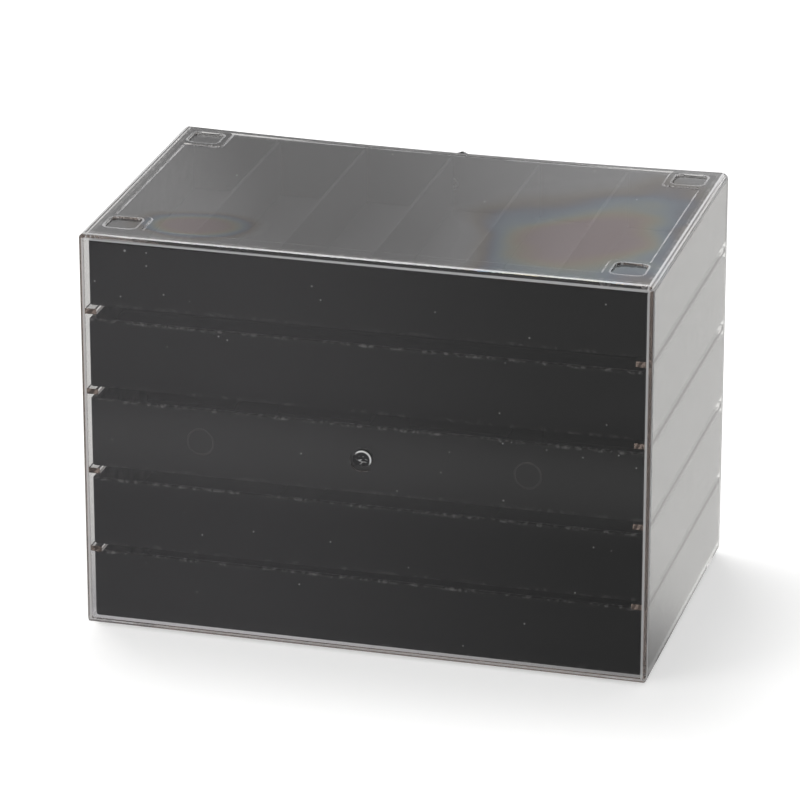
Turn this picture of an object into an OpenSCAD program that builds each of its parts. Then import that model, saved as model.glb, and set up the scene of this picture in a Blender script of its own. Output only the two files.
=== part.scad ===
// Jewelry organizer: a clear moulded case with an open front and five black drawers.
// Each drawer slides on a pair of rails inside the case and has a clear faceted knob.
// Millimetres. +Z is up, the drawers open towards -Y, and the back of the case faces +Y.
// The origin is the middle of the part's box, on the surface that the feet stand on.

/* [Case] */
// Outside width of the case
case_w = 250; // [200:1:320]
// Outside depth of the case, from the open front to the back
case_d = 150; // [120:1:190]
// Height of the case above its feet
case_h = 180; // [165:0.5:215]
// Thickness of the case walls
wall = 2.4; // [1.8:0.1:3.2]
// Radius of the outside edges of the case
edge_r = 3; // [1.5:0.1:4]
// Radius of the corners inside the case
inside_r = 0.8; // [0.4:0.1:2]

/* [Rails] */
// Distance from one rail to the next
rail_pitch = 36.6; // [33:0.1:40]
// Thickness of a rail
rail_t = 2.5; // [1.5:0.1:4]
// How far a rail stands out from the side wall
rail_reach = 5; // [4:0.1:8]
// How far the rails stop short of the open front
rail_setback = 1; // [0.5:0.1:5]

/* [Stacking top and feet] */
// Side of the square corner pockets that take the feet of another case
pocket_size = 14; // [10:0.5:20]
// Radius of the corners of a pocket
pocket_r = 3; // [1:0.1:4.5]
// Depth of a pocket
pocket_depth = 0.9; // [0.4:0.1:1.2]
// Pockets: distance from the sides of the case
pocket_side = 7.5; // [6:0.1:15]
// Pockets: distance from the open front
pocket_front = 5.5; // [5:0.1:15]
// Pockets: distance from the back
pocket_back = 12; // [6:0.1:20]
// Width of the border between a pocket and the sunk panel
pocket_border = 3; // [1:0.1:6]
// Distance from the open front to the sunk panel
panel_front = 3; // [2:0.1:5]
// Depth of the sunk panel
panel_depth = 0.5; // [0.2:0.05:0.9]
// Height of the feet
foot_h = 1; // [0.5:0.1:2]
// Gap round a foot in the pocket below it
foot_gap = 0.6; // [0.3:0.1:1.5]

/* [Moulding marks on the back wall] */
// Diameter of the dish round the gate mark in the middle of the back wall
gate_d = 11; // [9.5:0.1:14]
// Diameter of the gate stub that stands in the dish
gate_stub_d = 8; // [6:0.1:8.5]
// Distance from the middle of the gate stub down to the flat where it was trimmed
gate_flat = 2.7; // [1:0.1:2.9]
// Depth of the dish round the gate mark
gate_depth = 0.8; // [0.4:0.05:0.9]
// How far the gate stub stays below the outside of the back wall
gate_stub_drop = 0.15; // [0.05:0.05:0.25]
// Mean diameter of the two witness rings
ring_d = 11.6; // [8:0.1:16]
// Distance of a witness ring from the middle of the back wall
ring_x = 72; // [40:1:90]
// Width of the groove of a witness ring
ring_w = 0.6; // [0.3:0.05:1]
// Depth of the groove of a witness ring
ring_depth = 0.25; // [0.1:0.05:0.5]

/* [Drawers] */
// Gap between a drawer and each side wall of the case
side_gap = 0.5; // [0.3:0.1:2.4]
// Gap between a drawer and what it slides on
slide_gap = 0.25; // [0.2:0.05:0.5]
// Headroom above the top drawer
headroom = 0.8; // [0.6:0.1:4]
// Gap behind a drawer that is pushed right in
closing_gap = 0.5; // [0.3:0.1:2]
// Thickness of the sides, back and floor of a drawer
drawer_wall = 2; // [1.6:0.1:3]
// Thickness of the front of a drawer
front_t = 4.5; // [4.2:0.1:6]
// Radius of the long lower edges and of the back corners of a drawer
drawer_r = 1.6; // [0.5:0.1:2.4]
// Radius of the corners inside a drawer
tray_r = 1.5; // [0.5:0.1:3]
// How far the top drawer stands open
top_open = 3.5; // [2:0.1:20]
// How far the other drawers stand open
others_open = 2; // [0:0.1:3]

/* [Linings and dividers] */
// Thickness of the lining mat
mat_t = 1.2; // [0.6:0.1:3]
// Gap round a lining mat
mat_gap = 0.5; // [0.2:0.1:1.5]
// Thickness of a divider
divider_t = 1.6; // [1:0.1:3]
// Distance from the rim of a drawer down to the top of its dividers
divider_drop = 1.5; // [0.5:0.1:8]
// Depth of the grooves that hold the ends of the dividers
groove_depth = 0.8; // [0.4:0.1:1.2]
// Gap on each side of a divider in its groove or notch
divider_gap = 0.15; // [0.1:0.05:0.4]
// Columns in the top drawer
columns_1 = 6; // [2:1:8]
// Columns in the third drawer
columns_3 = 4; // [2:1:8]
// Columns in the fourth drawer
columns_4 = 3; // [2:1:6]
// Distance from the rim of a drawer down to the top of its ring rolls
roll_drop = 7; // [3:0.1:12]
// Gap round the pad of ring rolls
roll_gap = 0.5; // [0.3:0.1:2]
// Thickness of the backing that joins the ring rolls
roll_backing = 6; // [4:0.1:8]

/* [Knobs] */
// Distance across the corners of a knob
knob_d = 22.4; // [16:0.1:26]
// Number of facets round a knob
knob_sides = 8; // [6:1:12]
// Diameter of the round neck of a knob
neck_d = 11; // [8:0.1:13]
// Length of the neck
neck_l = 8; // [2:0.1:10]
// Length of the facets behind the widest part of a knob
back_facet_l = 6; // [3:0.1:9]
// Width of the band round the widest part of a knob
girdle_l = 1.2; // [0.5:0.1:3]
// Length of the facets in front of the widest part of a knob
crown_l = 5.5; // [3:0.1:9]
// Distance across the corners of the flat front facet
table_d = 13; // [6:0.1:13.5]
// Diameter of the screw that holds a knob
screw_d = 3; // [2:0.1:4]
// How far the screw goes into the knob
screw_grip = 7; // [4:0.1:8]
// Diameter of the screw head
screw_head_d = 5.6; // [4.5:0.1:7]
// Height of the screw head
screw_head_h = 1.8; // [1.2:0.1:2]
// Width of the cross slot in the screw head
slot_w = 0.8; // [0.5:0.05:1.2]
// Length of the cross slot
slot_l = 3.4; // [2.5:0.1:4.2]
// Depth of the cross slot
slot_depth = 1; // [0.4:0.05:1.1]
// Gap round the screw in the drawer front
screw_gap = 0.2; // [0.1:0.05:0.5]
// Gap round the screw head in its counterbore
head_gap = 0.4; // [0.2:0.1:1]
// Gap between the thread and the knob
thread_gap = 0.05; // [0.03:0.01:0.1]

/* [Hidden] */
$fn = 48;

// Each cut runs this far past the face that it opens
cut = 1;
bays = 5;
rails = bays - 1;

// Places along Y, with the knob of the top drawer as the foremost point
knob_l = neck_l + back_facet_l + girdle_l + crown_l;
total_d = case_d + top_open + knob_l;
back_y = total_d / 2;
front_y = back_y - case_d;
back_inside_y = back_y - wall;

// Heights
floor_z = foot_h + wall;
roof_z = foot_h + case_h - wall;
top_z = foot_h + case_h;
middle_z = foot_h + case_h / 2;
inside_w = case_w - 2 * wall;

// Rails, counted from the lowest, and the bays that they leave
function rail_z(k) = middle_z + (k - (rails - 1) / 2) * rail_pitch;
end_bay_h = roof_z - rail_z(rails - 1) - rail_t / 2;
middle_bay_h = rail_pitch - rail_t;

// Drawers, counted from the top
drawer_w = inside_w - 2 * side_gap;
drawer_d = case_d - wall - closing_gap;
drawer_h = min(end_bay_h, middle_bay_h) - headroom;
function seat_z(i) = i == bays ? floor_z : rail_z(bays - 1 - i) + rail_t / 2;
function drawer_z(i) = seat_z(i) + slide_gap;
function open_by(i) = i == 1 ? top_open : others_open;

// Inside of a drawer, measured from the drawer's front face, its middle and its underside
tray_w = drawer_w - 2 * drawer_wall;
tray_d = drawer_d - front_t - drawer_wall;
tray_front = front_t;
tray_back = drawer_d - drawer_wall;
tray_middle = (tray_front + tray_back) / 2;
mat_z = drawer_wall;
mat_top = mat_z + mat_t;

// Dividers
divider_h = drawer_h - divider_drop - mat_top;
groove_w = divider_t + 2 * divider_gap;
seated = groove_depth - divider_gap;
function divider_x(k, columns) = (k / columns - 0.5) * tray_w;

// Ring rolls
roll_d = drawer_h - roll_drop - mat_top;
roll_field = tray_d - 2 * roll_gap;
roll_count = ceil(roll_field / roll_d);
roll_pitch = (roll_field - roll_d) / (roll_count - 1);

// Knobs and screws. The round neck fits inside the flats of the facets behind it.
knob_z = drawer_h / 2;
neck_round_d = neck_d * cos(180 / knob_sides);
counterbore = screw_head_h + groove_depth + head_gap;
web_t = front_t - counterbore;

// Places a drawer or one of its pieces, i counted from the top
module in_drawer(i) {
    translate([0, front_y - open_by(i), drawer_z(i)])
        children();
}

// Places a shape that is drawn along +Z so that it points to the front, on a knob's axis
module on_knob_axis() {
    translate([0, 0, knob_z])
        rotate([90, 0, 0])
            children();
}

// Rectangle with round corners, centred
module round_rect(w, h, r) {
    square([w, h - 2 * r], center = true);
    square([w - 2 * r, h], center = true);
    for (x = [-1, 1], y = [-1, 1])
        translate([x * (w / 2 - r), y * (h / 2 - r)])
            circle(r);
}

// Rectangle from y = 0 to y = d with its two far corners round
module round_far_corners(w, d, r) {
    translate([-w / 2, 0])
        square([w, d - r]);
    translate([-w / 2 + r, 0])
        square([w - 2 * r, d]);
    for (x = [-1, 1])
        translate([x * (w / 2 - r), d - r])
            circle(r);
}

// Outside of the case: long edges round, and the edges of the back round
module case_block() {
    intersection() {
        translate([0, back_y, middle_z])
            rotate([90, 0, 0])
                linear_extrude(case_d)
                    round_rect(case_w, case_h, edge_r);
        translate([0, front_y, foot_h])
            linear_extrude(case_h)
                round_far_corners(case_w, case_d, edge_r);
        translate([case_w / 2, front_y, middle_z])
            rotate([0, -90, 0])
                linear_extrude(case_w)
                    round_far_corners(case_h, case_d, edge_r);
    }
}

// Hollow of the case, open at the front
module case_hollow() {
    translate([0, back_inside_y, middle_z])
        rotate([90, 0, 0])
            linear_extrude(case_d - wall + cut)
                round_rect(inside_w, case_h - 2 * wall, inside_r);
}

// Runs its children at the four corner pockets
module at_pockets() {
    half_x = case_w / 2 - pocket_side - pocket_size / 2;
    y_front = front_y + pocket_front + pocket_size / 2;
    y_back = back_y - pocket_back - pocket_size / 2;
    for (x = [-half_x, half_x], y = [y_front, y_back])
        translate([x, y])
            children();
}

// Outline of the sunk panel, which goes round the pockets
module panel_outline() {
    panel_w = case_w - 2 * pocket_side;
    panel_d = case_d - panel_front - pocket_back;
    kept = pocket_size + 2 * pocket_border;
    difference() {
        translate([0, front_y + panel_front + panel_d / 2])
            round_rect(panel_w, panel_d, pocket_r);
        at_pockets()
            round_rect(kept, kept, pocket_r);
    }
}

// Gate mark and witness rings, cut into the back wall
module back_marks() {
    translate([0, back_y + cut, middle_z])
        rotate([90, 0, 0])
            difference() {
                cylinder(d = gate_d, h = gate_depth + cut);
                translate([0, 0, cut + gate_stub_drop])
                    intersection() {
                        cylinder(d = gate_stub_d, h = gate_depth);
                        translate([-gate_stub_d, -gate_flat, -cut])
                            cube([2 * gate_stub_d, gate_flat + gate_stub_d, gate_depth + 2 * cut]);
                    }
            }
    for (x = [-ring_x, ring_x])
        translate([x, back_inside_y - cut, middle_z])
            rotate([-90, 0, 0])
                difference() {
                    cylinder(d = ring_d + ring_w, h = ring_depth + cut);
                    translate([0, 0, -cut])
                        cylinder(d = ring_d - ring_w, h = ring_depth + 3 * cut);
                }
}

module case() {
    color([0.80, 0.82, 0.83, 0.35]) {
        difference() {
            case_block();
            case_hollow();
            translate([0, 0, top_z - panel_depth])
                linear_extrude(panel_depth + cut)
                    panel_outline();
            translate([0, 0, top_z - pocket_depth])
                linear_extrude(pocket_depth + cut)
                    at_pockets()
                        round_rect(pocket_size, pocket_size, pocket_r);
            back_marks();
        }
        rail_l = case_d - wall - rail_setback;
        for (side = [0, 1], k = [0 : rails - 1])
            mirror([side, 0, 0])
                translate([inside_w / 2 - rail_reach, front_y + rail_setback, rail_z(k) - rail_t / 2])
                    cube([rail_reach + wall / 2, rail_l + wall / 2, rail_t]);
        foot_size = pocket_size - 2 * foot_gap;
        foot_r = pocket_r - foot_gap;
        linear_extrude(foot_h + wall / 2)
            at_pockets()
                round_rect(foot_size, foot_size, foot_r);
    }
}

// Drawer with its front face at y = 0 and its underside at z = 0.
// Columns and rows are the compartments that its grooves are cut for.
module drawer_body(columns, rows) {
    color([0.17, 0.17, 0.175])
        difference() {
            intersection() {
                linear_extrude(drawer_h)
                    round_far_corners(drawer_w, drawer_d, drawer_r);
                translate([0, drawer_d, drawer_h])
                    rotate([90, 0, 0])
                        linear_extrude(drawer_d)
                            mirror([0, 1])
                                round_far_corners(drawer_w, drawer_h, drawer_r);
            }
            translate([0, tray_middle, drawer_wall])
                linear_extrude(drawer_h)
                    round_rect(tray_w, tray_d, tray_r);
            for (k = [1 : 1 : columns - 1])
                translate([divider_x(k, columns) - groove_w / 2, tray_front - groove_depth, drawer_wall])
                    cube([groove_w, tray_d + 2 * groove_depth, drawer_h]);
            if (rows > 1)
                translate([-tray_w / 2 - groove_depth, tray_middle - groove_w / 2, drawer_wall])
                    cube([tray_w + 2 * groove_depth, groove_w, drawer_h]);
            on_knob_axis() {
                translate([0, 0, -tray_front - cut])
                    cylinder(d = screw_head_d + 2 * head_gap, h = counterbore + cut);
                translate([0, 0, -tray_front - cut])
                    cylinder(d = screw_d + 2 * screw_gap, h = front_t + 2 * cut);
            }
        }
}

module drawer(i, columns = 1, rows = 1) {
    in_drawer(i)
        drawer_body(columns, rows);
}

module knob(i) {
    profile = [
        [0, 0],
        [neck_d / 2, 0],
        [knob_d / 2, back_facet_l],
        [knob_d / 2, back_facet_l + girdle_l],
        [table_d / 2, back_facet_l + girdle_l + crown_l],
        [0, back_facet_l + girdle_l + crown_l]
    ];
    color([0.86, 0.88, 0.90, 0.4])
        in_drawer(i)
            on_knob_axis()
                difference() {
                    union() {
                        cylinder(d = neck_round_d, h = neck_l + girdle_l);
                        translate([0, 0, neck_l])
                            rotate(90)
                                rotate_extrude($fn = knob_sides)
                                    polygon(profile);
                    }
                    translate([0, 0, -cut])
                        cylinder(d = screw_d + 2 * thread_gap, h = screw_grip + cut + 2 * thread_gap);
                }
}

module knob_screw(i) {
    color([0.72, 0.72, 0.74])
        in_drawer(i)
            on_knob_axis()
                translate([0, 0, -web_t]) {
                    cylinder(d = screw_d, h = web_t + screw_grip);
                    difference() {
                        translate([0, 0, -screw_head_h])
                            cylinder(d = screw_head_d, h = screw_head_h);
                        for (turn = [0, 90])
                            rotate(turn)
                                translate([-slot_l / 2, -slot_w / 2, -screw_head_h - cut])
                                    cube([slot_l, slot_w, slot_depth + cut]);
                    }
                }
}

module lining_mat(i) {
    color([0.11, 0.11, 0.115])
        in_drawer(i)
            translate([0, tray_middle, mat_z])
                linear_extrude(mat_t)
                    round_rect(tray_w - 2 * mat_gap, tray_d - 2 * mat_gap, tray_r);
}

// Dividers from front to back. With a long divider in the drawer, each has a notch from below.
module cross_dividers(i, columns, notched = false) {
    color([0.15, 0.15, 0.155])
        in_drawer(i)
            for (k = [1 : 1 : columns - 1])
                translate([divider_x(k, columns) - divider_t / 2, 0, mat_top])
                    difference() {
                        translate([0, tray_front - seated, 0])
                            cube([divider_t, tray_d + 2 * seated, divider_h]);
                        if (notched)
                            translate([-cut, tray_middle - groove_w / 2, -cut])
                                cube([divider_t + 2 * cut, groove_w, divider_h / 2 + divider_gap + cut]);
                    }
}

// Divider from side to side, with a notch from above for each divider that crosses it
module long_divider(i, columns) {
    color([0.15, 0.15, 0.155])
        in_drawer(i)
            difference() {
                translate([-tray_w / 2 - seated, tray_middle - divider_t / 2, mat_top])
                    cube([tray_w + 2 * seated, divider_t, divider_h]);
                for (k = [1 : 1 : columns - 1])
                    translate([
                        divider_x(k, columns) - groove_w / 2,
                        tray_middle - divider_t / 2 - cut,
                        mat_top + divider_h / 2 - divider_gap
                    ])
                        cube([groove_w, divider_t + 2 * cut, divider_h]);
            }
}

// Pad of padded rolls that lie side by side, with the rings held between them
module ring_rolls(i) {
    color([0.12, 0.12, 0.125])
        in_drawer(i)
            translate([-tray_w / 2 + roll_gap, tray_front + roll_gap, mat_top])
                rotate([90, 0, 90])
                    linear_extrude(tray_w - 2 * roll_gap) {
                        translate([roll_d / 2, 0])
                            square([roll_field - roll_d, roll_backing]);
                        for (k = [0 : roll_count - 1])
                            translate([roll_d / 2 + k * roll_pitch, roll_d / 2])
                                circle(d = roll_d);
                    }
}

case();
drawer(1, columns = columns_1);  // drawer_1
drawer(2);  // drawer_2
drawer(3, columns = columns_3, rows = 2);  // drawer_3
drawer(4, columns = columns_4);  // drawer_4
drawer(5);  // drawer_5
for (i = [1 : bays]) {
    knob(i);
    knob_screw(i);
    lining_mat(i);
}
cross_dividers(1, columns_1);  // cross_dividers_1
ring_rolls(2);  // ring_rolls_2
long_divider(3, columns_3);  // long_divider_3
cross_dividers(3, columns_3, notched = true);  // cross_dividers_3
cross_dividers(4, columns_4);  // cross_dividers_4
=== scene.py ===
"""Looks of the jewelry organizer: a clear moulded case, five black drawers and clear faceted knobs.

Every piece is in metres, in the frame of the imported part. The drawers open towards -Y, and the camera
looks at the closed back of the case, which faces +Y.
"""
import logging
import math
from dataclasses import dataclass, field
from enum import Enum

import bmesh
import bpy
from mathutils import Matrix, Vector


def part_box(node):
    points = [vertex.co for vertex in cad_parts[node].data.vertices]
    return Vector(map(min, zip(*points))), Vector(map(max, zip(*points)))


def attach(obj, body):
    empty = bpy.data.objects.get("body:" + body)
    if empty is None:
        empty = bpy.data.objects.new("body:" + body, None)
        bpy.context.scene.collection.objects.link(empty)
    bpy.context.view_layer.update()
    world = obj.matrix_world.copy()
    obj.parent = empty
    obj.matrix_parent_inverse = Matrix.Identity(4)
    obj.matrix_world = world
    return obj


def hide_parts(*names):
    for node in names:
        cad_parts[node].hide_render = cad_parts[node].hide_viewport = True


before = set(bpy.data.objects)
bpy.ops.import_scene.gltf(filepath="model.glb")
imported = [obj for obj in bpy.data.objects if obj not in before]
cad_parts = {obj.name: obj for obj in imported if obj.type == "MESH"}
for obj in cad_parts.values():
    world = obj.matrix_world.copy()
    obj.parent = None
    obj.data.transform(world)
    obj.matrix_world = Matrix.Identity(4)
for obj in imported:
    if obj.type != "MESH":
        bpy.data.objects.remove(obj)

MM = 0.001
MERGE_DISTANCE = 0.002 * MM
FLAT_ANGLE = math.radians(0.5)
EDGE_ANGLE = math.radians(32)
CREASE_ANGLE = math.radians(50)
TO_FRONT = math.radians(90)
DRAWERS = 5
FOOT_H = 1.0 * MM
STRESS_DEPTH = 3.0 * MM

Span = tuple[float, float]
Triple = tuple[float, float, float]
Colour = Triple
Socket = bpy.types.NodeSocket

log = logging.getLogger("jewelry_organizer")


class ShaderSheet:
    """Adds and links the nodes of one shader tree.

    Args:
        tree: The node tree of a material or a world, which is emptied first.
    """

    def __init__(self, tree: bpy.types.NodeTree) -> None:
        self.tree = tree
        tree.nodes.clear()

    def add(self, kind: str, **settings: object) -> bpy.types.Node:
        """Adds a node.

        Args:
            kind: Blender's name for the node type.
            settings: Properties of the node, by name.

        Returns:
            The new node.
        """
        node = self.tree.nodes.new(kind)
        for name, value in settings.items():
            setattr(node, name, value)
        return node

    def feed(self, target: Socket, value: object) -> None:
        """Links a socket to an input, or sets the input to a plain value.

        Args:
            target: The input.
            value: A socket, a number, a colour or a vector.
        """
        if isinstance(value, bpy.types.NodeSocket):
            self.tree.links.new(value, target)
        elif isinstance(value, tuple) and len(value) == 3 and target.type == "RGBA":
            target.default_value = (*value, 1.0)
        else:
            target.default_value = value

    def places(self, scale: Triple = (1, 1, 1), move: Triple = (0, 0, 0)) -> Socket:
        """Object coordinates, moved and stretched.

        Args:
            scale: Stretch along each axis.
            move: Shift along each axis, in metres, before the stretch.

        Returns:
            The vector socket.
        """
        source = self.add("ShaderNodeTexCoord")
        mapping = self.add("ShaderNodeMapping")
        self.feed(mapping.inputs["Vector"], source.outputs["Object"])
        mapping.inputs["Location"].default_value = [m * s for m, s in zip(move, scale)]
        mapping.inputs["Scale"].default_value = scale
        return mapping.outputs["Vector"]

    def noise(self, vector: Socket, scale: float, detail: float = 3.0, rough: float = 0.5) -> Socket:
        """Smooth noise from 0 to 1.

        Args:
            vector: Where the noise is read.
            scale: Features per metre.
            detail: Number of finer layers.
            rough: Share of the finer layers.

        Returns:
            The factor socket.
        """
        node = self.add("ShaderNodeTexNoise")
        self.feed(node.inputs["Vector"], vector)
        node.inputs["Scale"].default_value = scale
        node.inputs["Detail"].default_value = detail
        node.inputs["Roughness"].default_value = rough
        return node.outputs["Fac"]

    def spread(
        self, value: Socket, low: float, high: float, out_low: float = 0.0, out_high: float = 1.0
    ) -> Socket:
        """Maps low to high smoothly onto another span.

        Args:
            value: The socket to map.
            low: Value that gives out_low.
            high: Value that gives out_high.
            out_low: First end of the new span.
            out_high: Second end of the new span.

        Returns:
            The mapped socket.
        """
        node = self.add("ShaderNodeMapRange", interpolation_type="SMOOTHSTEP")
        self.feed(node.inputs["Value"], value)
        ends = {"From Min": low, "From Max": high, "To Min": out_low, "To Max": out_high}
        for name, number in ends.items():
            node.inputs[name].default_value = number
        return node.outputs["Result"]

    def calc(self, operation: str, first: object, second: object) -> Socket:
        """One step of arithmetic.

        Args:
            operation: Blender's name for the operation.
            first: Socket or number.
            second: Socket or number.

        Returns:
            The result socket.
        """
        node = self.add("ShaderNodeMath", operation=operation)
        self.feed(node.inputs[0], first)
        self.feed(node.inputs[1], second)
        return node.outputs["Value"]

    def vectors(self, operation: str, *values: object) -> Socket:
        """One step of arithmetic on vectors.

        Args:
            operation: Blender's name for the operation.
            values: Sockets or plain vectors, in the order of the inputs.

        Returns:
            The result socket: a number for a length or a dot product, otherwise a vector.
        """
        node = self.add("ShaderNodeVectorMath", operation=operation)
        for target, value in zip(node.inputs, values):
            self.feed(target, value)
        return node.outputs["Value" if operation in ("LENGTH", "DOT_PRODUCT") else "Vector"]

    def split(self, vector: Socket) -> tuple[Socket, Socket, Socket]:
        """The X, the Y and the Z of a vector."""
        node = self.add("ShaderNodeSeparateXYZ")
        self.feed(node.inputs["Vector"], vector)
        return node.outputs["X"], node.outputs["Y"], node.outputs["Z"]

    def blend(self, factor: Socket, first: object, second: object, how: str = "MIX") -> Socket:
        """Mixes two colours.

        Args:
            factor: 0 gives the first colour and 1 the second.
            first: Socket or colour.
            second: Socket or colour.
            how: Blender's name for the way of mixing.

        Returns:
            The colour socket.
        """
        node = self.add("ShaderNodeMix", data_type="RGBA", blend_type=how)
        self.feed(node.inputs["Factor"], factor)
        self.feed(node.inputs[6], first)
        self.feed(node.inputs[7], second)
        return node.outputs[2]

    def mix(self, factor: Socket, first: Socket, second: Socket) -> Socket:
        """Mixes two shaders.

        Args:
            factor: 0 gives the first shader and 1 the second.
            first: Socket of a shader.
            second: Socket of a shader.

        Returns:
            The socket of the mixed shader.
        """
        node = self.add("ShaderNodeMixShader")
        for target, value in zip(node.inputs, (factor, first, second)):
            self.feed(target, value)
        return node.outputs["Shader"]

    def specks(self, vector: Socket, scale: float, size: float, share: float) -> Socket:
        """Small round spots that fill only some cells of a loose grid.

        Args:
            vector: Where the spots are read.
            scale: Cells per metre.
            size: Radius of a spot as a share of a cell.
            share: Share of the cells that hold a spot.

        Returns:
            A mask socket from 0 to 1.
        """
        node = self.add("ShaderNodeTexVoronoi")
        self.feed(node.inputs["Vector"], vector)
        node.inputs["Scale"].default_value = scale
        spot = self.spread(node.outputs["Distance"], size, size * 0.4)
        pick = self.add("ShaderNodeSeparateColor")
        self.feed(pick.inputs["Color"], node.outputs["Color"])
        chosen = self.calc("LESS_THAN", pick.outputs["Red"], share)
        return self.calc("MULTIPLY", spot, chosen)

    def bump(self, height: Socket, distance: float, strength: float = 1.0) -> Socket:
        """Turns a height into a bent normal.

        Args:
            height: Height from 0 to 1.
            distance: Height of 1, in metres.
            strength: Share of the bend that is kept.

        Returns:
            The normal socket.
        """
        node = self.add("ShaderNodeBump")
        self.feed(node.inputs["Height"], height)
        node.inputs["Distance"].default_value = distance
        node.inputs["Strength"].default_value = strength
        return node.outputs["Normal"]

    def principled(self, **inputs: object) -> bpy.types.Node:
        """Adds the main shader.

        Args:
            inputs: Values or sockets, by the shader's input names in lower case with underscores.

        Returns:
            The shader node.
        """
        node = self.add("ShaderNodeBsdfPrincipled")
        for name, value in inputs.items():
            title = name.replace("_", " ").title().replace("Ior", "IOR")
            self.feed(node.inputs[title], value)
        return node

    def surface(self, shader: Socket, volume: Socket | None = None) -> None:
        """Links the finished shaders to the material's output.

        Args:
            shader: The surface shader.
            volume: The volume shader, if there is one.
        """
        output = self.add("ShaderNodeOutputMaterial")
        self.feed(output.inputs["Surface"], shader)
        if volume is not None:
            self.feed(output.inputs["Volume"], volume)


def new_material(name: str) -> tuple[bpy.types.Material, ShaderSheet]:
    """Makes an empty node material.

    Args:
        name: Name of the material.

    Returns:
        The material and the sheet that fills its tree.
    """
    material = bpy.data.materials.new(name)
    material.use_nodes = True
    return material, ShaderSheet(material.node_tree)


@dataclass(frozen=True)
class StressSpot:
    """A place on the top of the case where stress in the plastic shows as rings of colour.

    Attributes:
        x: Place across the case.
        y: Place along its depth.
        reach_x: How far the colours reach across.
        reach_y: How far they reach along the depth.
    """

    x: float
    y: float
    reach_x: float
    reach_y: float


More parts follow.
